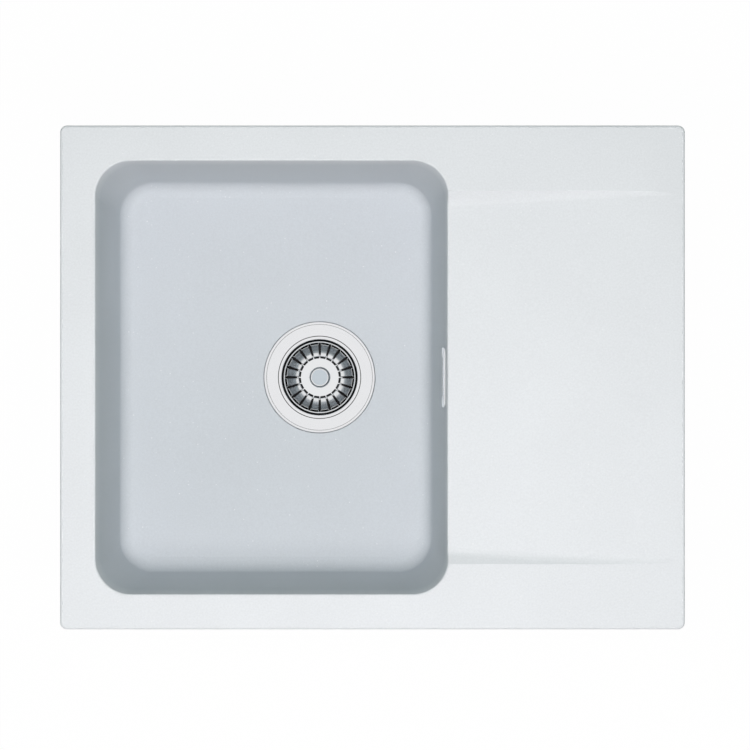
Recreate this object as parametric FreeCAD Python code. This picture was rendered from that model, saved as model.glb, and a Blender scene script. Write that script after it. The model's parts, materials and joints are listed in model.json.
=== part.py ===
"""Kitchen sink with drainboard: an inset composite sink, its basket waste, overflow and worktop clips.

Millimetres. The origin is the centre of the rim's underside, which is the worktop plane.
+X runs from the bowl to the drainboard, +Y is across the sink and +Z is up.
"""

import FreeCAD
import Part
import math
import os

V = FreeCAD.Vector
UP = V(0, 0, 1)

# ---- driving dimensions ---------------------------------------------------------------------

# rim
DECK_LENGTH = 620.0
DECK_WIDTH = 500.0
RIM_HEIGHT = 8.0
DECK_CORNER_R = 7.0
DECK_EDGE_R = 2.5

# bowl
BOWL_LENGTH = 350.0
BOWL_WIDTH = 430.0
BOWL_MARGIN = 35.0
BOWL_CORNER_R = 35.0
BOWL_DEPTH = 200.0          # from the deck's top to the floor at the waste
BOWL_DRAFT = math.radians(4.27)
BOWL_WALL = 7.0
BOWL_FLOOR = 8.0
FLOOR_FILLET_R = 16.0
FLOOR_FALL = math.radians(1.0)
LIP_R = 2.0                 # rounding where the deck turns down into the bowl

# drainer
DRAINER_HALF_WIDTH = 185.3
DRAINER_DROP = 8.0          # its depth at the bowl's edge
DRAINER_END = 10.0          # flat rim left at the far end
DRAINER_SIDE_RUN = 12.0     # how far its sloping side runs out over the full drop
DRAINER_SIDE_R = 15.0
DRAINER_PANEL = 7.0

# stiffening ribs and tap-hole marks under the deck
RIB_THICKNESS = 5.0
RIB_BOTTOM = -12.0
RIB_OFFSET = 95.0
RIB_END_MARGIN = 60.0       # from the ribs' far end to the deck's edge
CROSS_RIB_X = 187.5
CROSS_RIB_REACH = 165.3
TAP_RING_R = 17.5
TAP_RING_X = 118.0
TAP_RING_Y = 212.0
TAP_RING_WIDTH = 1.6
TAP_RING_DEPTH = 2.5

# foam seal under the rim
SEAL_INSET = 2.5
SEAL_WIDTH = 5.5
SEAL_DEPTH = 2.0

# waste
DRAIN_X = -55.0
DRAIN_HOLE_R = 45.0
DRAIN_SEAT_R = 58.1
DRAIN_SEAT_DEPTH = 3.2      # below the floor at the waste
DRAIN_PAD_R = 63.0
DRAIN_PAD_BOTTOM = -205.0
FLANGE_R = 57.7
THROAT_R = 39.3
SHEET = 1.2                 # pressed steel of the flange and its cup
CUP_CONE_TOP = -219.0
CUP_CONE_BOTTOM = -228.0
CUP_SEAT_R = 31.0
CUP_FLOOR = -242.0
CUP_HOLE_R = 5.0
CUP_HOLE_CIRCLE_R = 20.0
CUP_HOLES = 8
FLANGE_TOP = -191.6
FLANGE_EDGE_R = 1.1
FLANGE_STEP_R = 54.6        # inside the raised outer band
FLANGE_STEP = 0.7
FLANGE_CREASE_R = 42.65     # the pressed crease between the cone and the lip
FLANGE_CREASE = 0.35        # its half width
FLANGE_CONE_LOW = -193.05
FLANGE_LIP_TOP = -193.35    # the flat lip inside the crease
FLANGE_LIP_TURN = 0.7       # its bend down into the throat
GASKET_CLEARANCE = 1.5      # between the flange gasket and the hole
GASKET_THICKNESS = 2.0      # of the flat ring under the floor
GASKET_INNER_R = 46.5

# waste body
BODY_BORE_R = 46.0
BODY_R = 49.0
BODY_FLANGE_R = 54.0
BODY_FLANGE_HEIGHT = 5.0
BODY_CONE_TOP = -245.5      # inside, where the cup narrows to the outlet
BODY_CONE_WALL = 1.5        # measured straight down
COLLAR_R = 27.0
COLLAR_TOP = -262.0
COLLAR_HEIGHT = 5.0
OUTLET_R = 23.9
OUTLET_BORE_R = 20.0
OUTLET_END = -295.0
GRIP_RIBS = 12              # upright ribs round the cup, less the one where the inlet is
GRIP_RIB_R = 51.0
GRIP_RIB_BOTTOM = -240.0
GRIP_RIB_THICKNESS = 2.4
BOSS_R = 8.5
BOSS_BOTTOM = -263.8        # closed below the screw
BOSS_HOLE_BOTTOM = -262.0
BOSS_SPOKES = 3
SPOKE_THICKNESS = 4.0
SPOKE_BOTTOM = -258.0
INSERT_R = 6.0
INSERT_BOTTOM = -258.0
INSERT_TOP = -244.5
INLET_Z = -238.0
INLET_MOUTH_X = 18.0
CLAMP_SCREW_R = 4.0
CLAMP_SCREW_END = -261.0
CLAMP_HEAD_R = 8.0
CLAMP_NECK_R = 6.2
CLAMP_HEAD_HEIGHT = 8.0
CLAMP_WASHER = 2.0          # the flat part of the head

# strainer basket
BASKET_RIM_R = 37.5
BASKET_RIM_TOP = -197.0
BASKET_CURVE_R = 16.4       # the wall's curve from the steep rim to the flat disc
BASKET_DISC_R = 20.0
BASKET_DISC_TOP = -218.0    # middle of its sheet
BASKET_SHEET = 1.0
BRIDGES = 20
BRIDGE_START = math.radians(10)     # down the wall's curve
BRIDGE_END = math.radians(82)
BRIDGE_SLOT = math.radians(6)       # the opening left at a bridge's outer end
STRUT_HOLD = math.radians(6)        # how far a strut runs under the bridges' ends
BRIDGE_RAISE = 1.4          # height of the pressed bridges over the struts between them
BRIDGE_GAP = 1.8            # between one bridge and the next
BRIDGE_SIDE = 0.8           # thickness of a bridge's two sides
STRUT_WIDTH = 2.7           # between the bridges' ends; open between the struts along their sides
KNOB_R = 9.2
KNOB_NECK_R = 5.5
KNOB_TOP = -205.5
KNOB_DISH = 0.25            # hollow of its top
STEM_R = 3.0
STEM_SHOULDER_R = 9.0
SEAL_TOP = -221.4
SEAL_THICKNESS = 3.0
SEAL_LIP_R = 34.2
SEAL_HUB_R = 27.0
RETAINER_R = 14.0
RETAINER_SHEET = 1.5

# overflow, placed on the bowl's wall towards the drainer
OVERFLOW_HEIGHT = -27.0
COVER_LENGTH = 60.0
COVER_HEIGHT = 26.0
COVER_PROUD = 2.0
COVER_CORNER_R = 4.5
COVER_EDGE_R = 0.6
COVER_SHEET = 1.0
COVER_INLET_LENGTH = 42.0
COVER_INLET_HEIGHT = 5.0
COVER_INLET_Y = -7.5        # below the middle of the cover
COVER_POST_R = 2.6
COVER_POST_END = -5.0
WALL_SLOT_LENGTH = 40.0
WALL_SLOT_HEIGHT = 14.0
WALL_SLOT_Y = -3.0
CHAMBER_LENGTH = 42.0
CHAMBER_HEIGHT = 26.0
CHAMBER_WALL = 3.0
CHAMBER_FLANGE_LENGTH = 70.0
CHAMBER_FLANGE_HEIGHT = 36.0
CHAMBER_FLANGE_SHEET = 3.0
OVERFLOW_GASKET = 1.5       # thickness of the rubber pad
OVERFLOW_SCREW_X = 25.0
OVERFLOW_SCREW_R = 1.5
OVERFLOW_SCREW_HOLE_R = 1.9
SPIGOT_TOP = -13.0          # where the spigot leaves the chamber, measured up the wall
PIPE_R = 11.0
PIPE_BORE_R = 9.0
PIPE_BEND_R = 45.0
PIPE_OFFSET = 26.0          # from the bowl's inner wall to the pipe's axis
PIPE_ENTRY = 16.0           # how far the pipe goes into a socket
PIPE_PLAY = 0.2
SOCKET_LENGTH = 24.0
SOCKET_END = 6.0            # the solid shoulder behind the pipe's end
SOCKET_R = 15.0
SOCKET_NUT_WALL = 3.0
SOCKET_NUT_LOW = -12.0      # from the socket's mouth
SOCKET_NUT_HIGH = 6.0
SOCKET_NUT_FLUTES = 10
WASHER_HEIGHT = 4.0
WASHER_TIP_R = 12.2

# worktop clips
CLIP_INSET = 19.0           # from the deck's outer edge to the stud
CLIP_BOSS_R = 7.0
CLIP_BOSS_BOTTOM = -14.0
CLIP_INSERT_R = 4.0
STUD_R = 2.55
STUD_END = -60.0
STUD_TOP = -2.0
CLIP_BORE_TOP = -1.0        # blind end of the boss's hole
CLAW_LENGTH = 30.0
CLAW_TAIL = 8.0
CLAW_WIDTH = 14.0
CLAW_SHEET = 2.0
CLAW_TOE = 5.0
CLAW_BEND_R = 3.5           # outside of the bend up to the toe
CLAW_RIB_Y = 4.5
CLAW_BORE_R = 3.3
CLAW_BOTTOM = -50.0
NUT_HEIGHT = 8.0
NUT_HUB_R = 6.0
NUT_HUB_LOW_R = 5.0
NUT_BORE_R = 3.0
WING_REACH = 11.5
WING_THICKNESS = 2.5
WING_HEIGHT = 11.0
WING_EAR_R = 3.4
WING_EDGE_R = 0.7

# ---- worked out from them -------------------------------------------------------------------

DECK_TOP = RIM_HEIGHT
BOWL_X = -DECK_LENGTH / 2 + BOWL_MARGIN + BOWL_LENGTH / 2
BOWL_RIGHT = BOWL_X + BOWL_LENGTH / 2
FLOOR_AT_DRAIN = DECK_TOP - BOWL_DEPTH
WALL_RUN = BOWL_WALL / math.cos(BOWL_DRAFT)
DRAIN_SEAT = FLOOR_AT_DRAIN - DRAIN_SEAT_DEPTH
BODY_TOP = DRAIN_PAD_BOTTOM - GASKET_THICKNESS
BASKET_CURVE_Z = BASKET_DISC_TOP + BASKET_CURVE_R    # height of the wall curve's centre
WALL_BACK = -BOWL_WALL
CHAMBER_FACE = WALL_BACK - OVERFLOW_GASKET           # face of the chamber's flange, behind the wall
SCREW_SEAT = CHAMBER_FACE - CHAMBER_FLANGE_SHEET
DRAINER_FAR_X = DECK_LENGTH / 2 - DRAINER_END
DRAINER_SLOPE = DRAINER_DROP / (DRAINER_FAR_X - BOWL_RIGHT)
STUD_X = DECK_LENGTH / 2 - CLIP_INSET
STUD_Y = DECK_WIDTH / 2 - CLIP_INSET

# (x, y, direction of the claw's arm at rest, in degrees)
CLIPS = [
    (-180.0, STUD_Y, 0.0),
    (190.0, STUD_Y, 0.0),
    (STUD_X, 140.0, 270.0),
    (STUD_X, -140.0, 90.0),
    (190.0, -STUD_Y, 0.0),
    (-180.0, -STUD_Y, 0.0),
    (-STUD_X, -140.0, 90.0),
    (-STUD_X, 140.0, 270.0),
]


# ---- forms used by several sub-parts ----------------------------------------------------------

def cylinder(radius, bottom, top, x=0.0, y=0.0):
    """An upright cylinder between two heights."""
    return Part.makeCylinder(radius, top - bottom, V(x, y, bottom))


def ring(outer, inner, bottom, top):
    """An upright ring about the Z axis."""
    return cylinder(outer, bottom, top).cut(cylinder(inner, bottom - 1, top + 1))


def block(x0, x1, y0, y1, z0, z1):
    """A box between three pairs of limits."""
    return Part.makeBox(x1 - x0, y1 - y0, z1 - z0, V(x0, y0, z0))


def turned(start, *steps):
    """A solid turned about the Z axis from a profile of (radius, height) points.

    A step is the next point, or a pair of points: the middle and the end of an arc.
    """
    edges = []
    here = V(start[0], 0, start[1])
    for step in steps + (start,):
        if isinstance(step[0], tuple):
            middle = V(step[0][0], 0, step[0][1])
            there = V(step[1][0], 0, step[1][1])
            edges.append(Part.Arc(here, middle, there).toShape())
        else:
            there = V(step[0], 0, step[1])
            edges.append(Part.LineSegment(here, there).toShape())
        here = there
    return Part.Face(Part.Wire(edges)).revolve(V(0, 0, 0), UP, 360)


def rounded_outline(length, width, radius, z, x=0.0, y=0.0):
    """A closed outline: a rectangle with round corners, at one height."""
    half_x = length / 2
    half_y = width / 2
    cut = radius * (1 - math.sin(math.pi / 4))
    edges = []
    for turn in range(4):
        across = half_x if turn % 2 == 0 else half_y
        up = half_y if turn % 2 == 0 else half_x
        side = Part.LineSegment(V(radius - across, -up, z), V(across - radius, -up, z)).toShape()
        corner = Part.Arc(V(across - radius, -up, z), V(across - cut, cut - up, z),
                          V(across, radius - up, z)).toShape()
        for edge in (side, corner):
            edge.rotate(V(0, 0, 0), UP, 90 * turn)
            edge.translate(V(x, y, 0))
            edges.append(edge)
    return Part.Wire(edges)


def rounded_plate(length, width, radius, bottom, top, x=0.0, y=0.0):
    """A plate with round corners between two heights."""
    outline = rounded_outline(length, width, radius, bottom, x, y)
    return Part.Face(outline).extrude(V(0, 0, top - bottom))


def at_drain(shape):
    """Move a shape from the Z axis to the waste's axis."""
    return shape.translated(V(DRAIN_X, 0, 0))


def wall_x(z):
    """Where the bowl's inner wall stands at a height, on the drainer's side."""
    return BOWL_RIGHT - (DECK_TOP - z) * math.tan(BOWL_DRAFT)


WALL_UP = V(math.sin(BOWL_DRAFT), 0, math.cos(BOWL_DRAFT))
WALL_OUT = V(-math.cos(BOWL_DRAFT), 0, math.sin(BOWL_DRAFT))
OVERFLOW_ORIGIN = V(wall_x(OVERFLOW_HEIGHT), 0, OVERFLOW_HEIGHT)
OVERFLOW_FRAME = FreeCAD.Placement(
    OVERFLOW_ORIGIN, FreeCAD.Rotation(V(0, -1, 0), WALL_UP, WALL_OUT, "ZXY"))


def on_wall(shape):
    """Place a shape on the sloping wall: X across it, Y up it and Z into the bowl."""
    placed = shape.copy()
    placed.Placement = OVERFLOW_FRAME.multiply(placed.Placement)
    return placed


# ---- sink -----------------------------------------------------------------------------------

def bowl_form(grow, drop, fillet_r, top):
    """The bowl's space as a solid, grown sideways and dropped below the floor."""
    low = FLOOR_AT_DRAIN - drop
    outlines = []
    for z in (top, low - 15):
        inset = (DECK_TOP - z) * math.tan(BOWL_DRAFT) - grow
        outlines.append(rounded_outline(BOWL_LENGTH - 2 * inset, BOWL_WIDTH - 2 * inset,
                                        BOWL_CORNER_R + grow, z, BOWL_X))
    walls = Part.makeLoft(outlines, True, True)
    reach = BOWL_LENGTH + BOWL_WIDTH
    floor = turned((0, low), (reach, low + reach * math.tan(FLOOR_FALL)), (reach, top + 5), (0, top + 5))
    form = walls.common(at_drain(floor)).Solids[0]
    floor_edges = [edge for edge in form.Edges if edge.BoundBox.ZMax < low + 12]
    return form.makeFillet(fillet_r, floor_edges)


def drainer_height(x):
    """The height of the drainer's surface."""
    return DECK_TOP - DRAINER_SLOPE * (DRAINER_FAR_X - x)


def drainer_form(left, right, drop, grow, top, side_r):
    """The space over the sloping drainer, or with a drop the panel under it."""
    spread = DRAINER_SIDE_RUN / DRAINER_DROP
    sections = []
    for x in (left, right):
        z = drainer_height(x) - drop
        low = DRAINER_HALF_WIDTH + grow - (DECK_TOP - z) * spread
        high = DRAINER_HALF_WIDTH + grow + (top - DECK_TOP) * spread
        corners = [V(x, -low, z), V(x, low, z), V(x, high, top), V(x, -high, top)]
        sections.append(Part.makePolygon(corners + corners[:1]))
    form = Part.makeLoft(sections, True, True)
    if side_r:
        long_edges = [edge for edge in form.Edges
                      if edge.BoundBox.XLength > 50 and edge.BoundBox.ZMax < top - 1]
        form = form.makeFillet(side_r, long_edges)
    return form


def deck():
    """The flat rim with its rounded top edge."""
    plate = rounded_plate(DECK_LENGTH, DECK_WIDTH, DECK_CORNER_R, 0, RIM_HEIGHT)
    top_edges = [edge for edge in plate.Edges if edge.BoundBox.ZMin > RIM_HEIGHT - 0.01]
    return plate.makeFillet(DECK_EDGE_R, top_edges)


def underside_ribs():
    """Ribs that stiffen the drainer panel, and the bosses that take the clips."""
    left = BOWL_RIGHT - 5
    right = DECK_LENGTH / 2 - RIB_END_MARGIN
    half = RIB_THICKNESS / 2
    shapes = [block(left, right, y - half, y + half, RIB_BOTTOM, 0.5) for y in (-RIB_OFFSET, RIB_OFFSET)]
    shapes.append(block(CROSS_RIB_X - half, CROSS_RIB_X + half, -CROSS_RIB_REACH, CROSS_RIB_REACH,
                        RIB_BOTTOM, 0.5))
    shapes += [cylinder(CLIP_BOSS_R, CLIP_BOSS_BOTTOM, 1, x, y) for x, y, _ in CLIPS]
    return shapes


def seal_loop(clearance):
    """The loop of the foam seal, or with a clearance the groove that holds it."""
    outer = 2 * (SEAL_INSET - clearance)
    inner = 2 * (SEAL_INSET + SEAL_WIDTH + clearance)
    height = SEAL_DEPTH + clearance
    outside = rounded_plate(DECK_LENGTH - outer, DECK_WIDTH - outer, DECK_CORNER_R - 2, 0, height)
    inside = rounded_plate(DECK_LENGTH - inner, DECK_WIDTH - inner, 2.0, -1, height + 1)
    return outside.cut(inside)


def tap_hole_rings():
    """Ring grooves under the shoulders that mark where a tap hole can be knocked out."""
    groove = ring(TAP_RING_R + TAP_RING_WIDTH, TAP_RING_R, -1, TAP_RING_DEPTH)
    return [groove.translated(V(TAP_RING_X, y, 0)) for y in (-TAP_RING_Y, TAP_RING_Y)]


def lip_edges(body):
    """The edges where the deck and the drainer turn down into the bowl."""
    edges = []
    for edge in body.Edges:
        middle = edge.valueAt((edge.FirstParameter + edge.LastParameter) / 2)
        over_bowl = abs(middle.x - BOWL_X) < BOWL_LENGTH / 2 + 0.6 and abs(middle.y) < BOWL_WIDTH / 2 + 0.6
        if over_bowl and middle.z > DECK_TOP - DRAINER_DROP - 0.6 and edge.BoundBox.ZMin > -1:
            if abs(edge.BoundBox.ZMax) > 0.001 or edge.BoundBox.YLength > BOWL_WIDTH / 2:
                edges.append(edge)
    return edges


def sink_body():
    """The one-piece moulded sink: rim, bowl, sloping drainer, waste seat and overflow slot."""
    left = BOWL_RIGHT - 15
    shell = deck().fuse([bowl_form(WALL_RUN, BOWL_FLOOR, FLOOR_FILLET_R + BOWL_WALL, RIM_HEIGHT / 2),
                         drainer_form(left, DRAINER_FAR_X - 5, DRAINER_PANEL, DRAINER_PANEL + 2, 4, 0),
                         at_drain(cylinder(DRAIN_PAD_R, DRAIN_PAD_BOTTOM, FLOOR_AT_DRAIN - BOWL_FLOOR / 2))])
    shell = shell.fuse(underside_ribs())
    shell = shell.cut(drainer_form(left, DECK_LENGTH / 2 + 25, 0, 0, 20, DRAINER_SIDE_R))
    shell = shell.cut(bowl_form(0, 0, FLOOR_FILLET_R, DECK_TOP + 4)).removeSplitter().Solids[0]
    shell = shell.makeFillet(LIP_R, lip_edges(shell))
    holes = [at_drain(cylinder(DRAIN_SEAT_R, DRAIN_SEAT, DRAIN_SEAT + 20)),
             at_drain(cylinder(DRAIN_HOLE_R, DRAIN_PAD_BOTTOM - 5, DRAIN_SEAT + 1)),
             on_wall(rounded_plate(WALL_SLOT_LENGTH, WALL_SLOT_HEIGHT, 5, -20, 5, 0, WALL_SLOT_Y))]
    for x in (-OVERFLOW_SCREW_X, OVERFLOW_SCREW_X):
        holes.append(on_wall(cylinder(COVER_POST_R + 0.4, -20, 5, x)))
    for x, y, _ in CLIPS:
        holes.append(cylinder(CLIP_INSERT_R, CLIP_BOSS_BOTTOM - 1, CLIP_BORE_TOP, x, y))
    return shell.cut(holes + tap_hole_rings() + [seal_loop(0.0)])


def rim_seal():
    """The closed-cell foam loop that beds the rim on the worktop."""
    return seal_loop(0.0)


# ---- waste ----------------------------------------------------------------------------------

def waste_flange():
    """The pressed steel flange with the cup that the basket hangs in."""
    turn_r = THROAT_R + FLANGE_LIP_TURN
    turn_cut = FLANGE_LIP_TURN * (1 - math.sqrt(0.5))
    edge_cut = FLANGE_EDGE_R * (1 - math.sqrt(0.5))
    crease_z = FLANGE_LIP_TOP - FLANGE_CREASE / 2
    screw_hole_r = CLAMP_SCREW_R + 0.4
    shape = turned(
        (FLANGE_R, DRAIN_SEAT + 0.3), (FLANGE_R, FLANGE_TOP - FLANGE_EDGE_R),
        ((FLANGE_R - edge_cut, FLANGE_TOP - edge_cut), (FLANGE_R - FLANGE_EDGE_R, FLANGE_TOP)),
        (FLANGE_STEP_R + FLANGE_STEP, FLANGE_TOP), (FLANGE_STEP_R, FLANGE_TOP - FLANGE_STEP),
        (FLANGE_CREASE_R + FLANGE_CREASE, FLANGE_CONE_LOW), (FLANGE_CREASE_R, crease_z),
        (FLANGE_CREASE_R - FLANGE_CREASE, FLANGE_LIP_TOP), (turn_r, FLANGE_LIP_TOP),
        ((THROAT_R + turn_cut, FLANGE_LIP_TOP - turn_cut), (THROAT_R, FLANGE_LIP_TOP - FLANGE_LIP_TURN)),
        (THROAT_R, CUP_CONE_TOP), (CUP_SEAT_R, CUP_CONE_BOTTOM), (CUP_SEAT_R, CUP_FLOOR),
        (screw_hole_r, CUP_FLOOR), (screw_hole_r, CUP_FLOOR - SHEET),
        (CUP_SEAT_R + SHEET, CUP_FLOOR - SHEET), (CUP_SEAT_R + SHEET, CUP_CONE_BOTTOM - 0.6),
        (THROAT_R + SHEET, CUP_CONE_TOP - 0.6), (THROAT_R + SHEET, FLANGE_LIP_TOP - SHEET - FLANGE_LIP_TURN),
        (FLANGE_CREASE_R, FLANGE_LIP_TOP - SHEET),
        (FLANGE_STEP_R, FLANGE_TOP - FLANGE_STEP - SHEET), (FLANGE_R - SHEET, FLANGE_TOP - SHEET),
        (FLANGE_R - SHEET, DRAIN_SEAT + 0.3))
    holes = []
    for index in range(CUP_HOLES):
        hole = cylinder(CUP_HOLE_R, CUP_FLOOR - 3, CUP_FLOOR + 1, CUP_HOLE_CIRCLE_R)
        holes.append(hole.rotated(V(0, 0, 0), UP, 360.0 / CUP_HOLES * (index + 0.5)))
    return at_drain(shape.cut(holes))


def flange_gasket():
    """The soft ring between the flange and its seat in the floor."""
    inner = DRAIN_HOLE_R + GASKET_CLEARANCE
    outer_top = FLANGE_TOP - FLANGE_STEP - SHEET
    crease_low = FLANGE_LIP_TOP - SHEET
    rise = (outer_top - crease_low) / (FLANGE_STEP_R - FLANGE_CREASE_R)
    inner_top = crease_low + rise * (inner - FLANGE_CREASE_R)
    return at_drain(turned((inner, DRAIN_SEAT), (FLANGE_STEP_R, DRAIN_SEAT), (FLANGE_STEP_R, outer_top),
                           (inner, inner_top)))


def lower_gasket():
    """The flat ring that the waste body is pulled up against."""
    return at_drain(ring(BODY_FLANGE_R, GASKET_INNER_R, BODY_TOP, DRAIN_PAD_BOTTOM))


def socket_form():
    """A compression socket along Z with its mouth at zero."""
    shoulder = SOCKET_END - SOCKET_LENGTH
    return ring(SOCKET_R, PIPE_R + PIPE_PLAY, shoulder, 0).fuse(
        ring(SOCKET_R, PIPE_BORE_R, -SOCKET_LENGTH, shoulder)).removeSplitter()


def cone_washer():
    """The tapered rubber washer that seals a pipe in its socket."""
    return turned((PIPE_R, 0), (SOCKET_R - 0.4, 0), (WASHER_TIP_R, WASHER_HEIGHT), (PIPE_R, WASHER_HEIGHT))


def compression_nut():
    """The fluted nut over a socket, closed down to the pipe."""
    outer = SOCKET_R + SOCKET_NUT_WALL
    mouth = PIPE_R + 2 * PIPE_PLAY
    shape = turned((SOCKET_R, SOCKET_NUT_LOW), (outer, SOCKET_NUT_LOW), (outer, SOCKET_NUT_HIGH - 1),
                   (outer - 1, SOCKET_NUT_HIGH), (mouth, SOCKET_NUT_HIGH), (mouth, WASHER_HEIGHT),
                   (WASHER_TIP_R + 0.4, WASHER_HEIGHT), (SOCKET_R, 0.2))
    flutes = []
    for index in range(SOCKET_NUT_FLUTES):
        flute = cylinder(2.6, SOCKET_NUT_LOW - 1, SOCKET_NUT_HIGH - 2.5, outer + 1.8)
        flutes.append(flute.rotated(V(0, 0, 0), UP, 360.0 / SOCKET_NUT_FLUTES * index))
    return shape.cut(flutes)


def waste_joint(shape):
    """Turn a joint's piece onto the overflow inlet of the waste body."""
    turned_over = shape.rotated(V(0, 0, 0), V(0, 1, 0), 90)
    return turned_over.translated(V(INLET_MOUTH_X, 0, INLET_Z))


def waste_body():
    """The moulded body under the floor: cup, outlet, clamp boss and overflow inlet."""
    collar_bottom = COLLAR_TOP - COLLAR_HEIGHT
    cone_bottom = COLLAR_TOP - 1
    flange_bottom = BODY_TOP - BODY_FLANGE_HEIGHT
    shell = turned((BODY_BORE_R, BODY_TOP), (BODY_FLANGE_R, BODY_TOP), (BODY_FLANGE_R, flange_bottom),
                   (BODY_R, flange_bottom - 1.5), (BODY_R, BODY_CONE_TOP - BODY_CONE_WALL),
                   (COLLAR_R, COLLAR_TOP), (COLLAR_R, collar_bottom), (OUTLET_R, collar_bottom - 1),
                   (OUTLET_R, OUTLET_END), (OUTLET_BORE_R, OUTLET_END), (OUTLET_BORE_R, cone_bottom),
                   (BODY_BORE_R, BODY_CONE_TOP))
    cone_space = turned((0, cone_bottom), (OUTLET_BORE_R, cone_bottom), (BODY_BORE_R, BODY_CONE_TOP),
                        (0, BODY_CONE_TOP))
    half = SPOKE_THICKNESS / 2
    spoke = block(INSERT_R, BODY_BORE_R, -half, half, SPOKE_BOTTOM, BODY_CONE_TOP - BODY_CONE_WALL)
    spokes = Part.makeCompound([spoke.rotated(V(0, 0, 0), UP, 60 + 360 / BOSS_SPOKES * index)
                                for index in range(BOSS_SPOKES)])
    rib_half = GRIP_RIB_THICKNESS / 2
    rib = block(BODY_R - 1, GRIP_RIB_R, -rib_half, rib_half, GRIP_RIB_BOTTOM, flange_bottom)
    ribs = [rib.rotated(V(0, 0, 0), UP, 360.0 / GRIP_RIBS * index) for index in range(1, GRIP_RIBS)]
    boss = cylinder(BOSS_R, BOSS_BOTTOM, BODY_CONE_TOP)
    body = at_drain(shell.fuse([boss] + ribs + spokes.common(shell.fuse(cone_space)).Solids))
    root = DRAIN_X + BODY_BORE_R + 1 - INLET_MOUTH_X
    body = body.fuse([waste_joint(cylinder(SOCKET_R, root, 1 - SOCKET_LENGTH)), waste_joint(socket_form())])
    return body.cut([
        waste_joint(cylinder(PIPE_BORE_R, root - 4, 1 + SOCKET_END - SOCKET_LENGTH)),
        waste_joint(cylinder(PIPE_R + PIPE_PLAY, SOCKET_END - SOCKET_LENGTH, 1)),
        at_drain(cylinder(BODY_BORE_R, BODY_CONE_TOP, BODY_TOP + 1)),
        at_drain(cylinder(INSERT_R, INSERT_BOTTOM, INSERT_TOP)),
        at_drain(cylinder(CLAMP_SCREW_R + 0.5, BOSS_HOLE_BOTTOM, INSERT_BOTTOM + 1)),
    ]).removeSplitter()


def waste_insert():
    """The brass thread moulded into the body's boss."""
    return at_drain(ring(INSERT_R, CLAMP_SCREW_R, INSERT_BOTTOM, INSERT_TOP))


def clamp_screw():
    """The screw that pulls flange and body together; its hollow head takes the basket's stem."""
    washer_top = CUP_FLOOR + CLAMP_WASHER
    head_top = CUP_FLOOR + CLAMP_HEAD_HEIGHT
    hollow_r = STEM_R + 0.4
    hollow_floor = CUP_FLOOR + 1.5
    return at_drain(turned((0, CLAMP_SCREW_END), (CLAMP_SCREW_R - 1, CLAMP_SCREW_END),
                           (CLAMP_SCREW_R, CLAMP_SCREW_END + 1), (CLAMP_SCREW_R, CUP_FLOOR),
                           (CLAMP_HEAD_R, CUP_FLOOR), (CLAMP_HEAD_R, washer_top),
                           (CLAMP_NECK_R, washer_top + 0.6), (CLAMP_NECK_R, head_top),
                           (hollow_r + 0.8, head_top), (hollow_r, head_top - 1), (hollow_r, hollow_floor),
                           (0, hollow_floor)))


# ---- strainer basket ------------------------------------------------------------------------

def wall_shell(inner, outer, start, end):
    """A band of the basket's curved wall between two radii of its curve and two angles.

    Angles run in radians from the steep rim, at zero, down to the flat disc.
    """
    def at(radius, angle):
        return (BASKET_DISC_R + radius * math.cos(angle), BASKET_CURVE_Z - radius * math.sin(angle))

    half = (start + end) / 2
    return turned(at(inner, start), (at(inner, half), at(inner, end)), at(outer, end),
                  (at(outer, half), at(outer, start)))


def spokes_around(width, inner, outer):
    """Radial blades, one between each bridge and the next."""
    blades = []
    for index in range(BRIDGES):
        blade = block(inner, outer, -width / 2, width / 2, BASKET_DISC_TOP - 4, BASKET_RIM_TOP + 1)
        blades.append(blade.rotated(V(0, 0, 0), UP, 360.0 / BRIDGES * index))
    return blades


def basket():
    """The strainer: a rolled rim, a ring of pressed bridges with slots all round, and the centre disc."""
    half = BASKET_SHEET / 2
    wall_r = BASKET_DISC_R + BASKET_CURVE_R
    rim_r = (BASKET_RIM_R - wall_r + half) / 2
    roll_z = BASKET_RIM_TOP - rim_r
    roll_bottom = roll_z - 0.8
    rim = turned((wall_r - half, BASKET_CURVE_Z), (wall_r - half, roll_z),
                 ((BASKET_RIM_R - rim_r, BASKET_RIM_TOP), (BASKET_RIM_R, roll_z)),
                 (BASKET_RIM_R, roll_bottom), (wall_r + half, roll_bottom), (wall_r + half, BASKET_CURVE_Z))
    inner = BASKET_CURVE_R - half
    outer = BASKET_CURVE_R + half
    bridge_top = inner - BRIDGE_RAISE
    collar = wall_shell(inner, outer, 0, BRIDGE_START - BRIDGE_SLOT)
    ends = wall_shell(inner, outer, 0.05, BRIDGE_START + STRUT_HOLD).fuse(
        wall_shell(inner, outer, BRIDGE_END - STRUT_HOLD, math.pi / 2))
    struts = ends.common(Part.makeCompound(spokes_around(STRUT_WIDTH, 15, 45)))
    bridges = wall_shell(bridge_top, inner + 0.2, BRIDGE_START, BRIDGE_END)
    under = wall_shell(bridge_top + BASKET_SHEET, inner + 0.4, BRIDGE_START - 0.05, BRIDGE_END + 0.05)
    under = under.cut(spokes_around(BRIDGE_GAP + 2 * BRIDGE_SIDE, 10, 45))
    bridges = bridges.cut(spokes_around(BRIDGE_GAP, 10, 45)).cut(under)
    disc = cylinder(BASKET_DISC_R, BASKET_DISC_TOP - half, BASKET_DISC_TOP + half)
    shape = rim.fuse([collar, disc] + struts.Solids + bridges.Solids).removeSplitter()
    return at_drain(shape.cut(cylinder(STEM_R - 0.5, BASKET_DISC_TOP - 5, BASKET_DISC_TOP + 5)))


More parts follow.
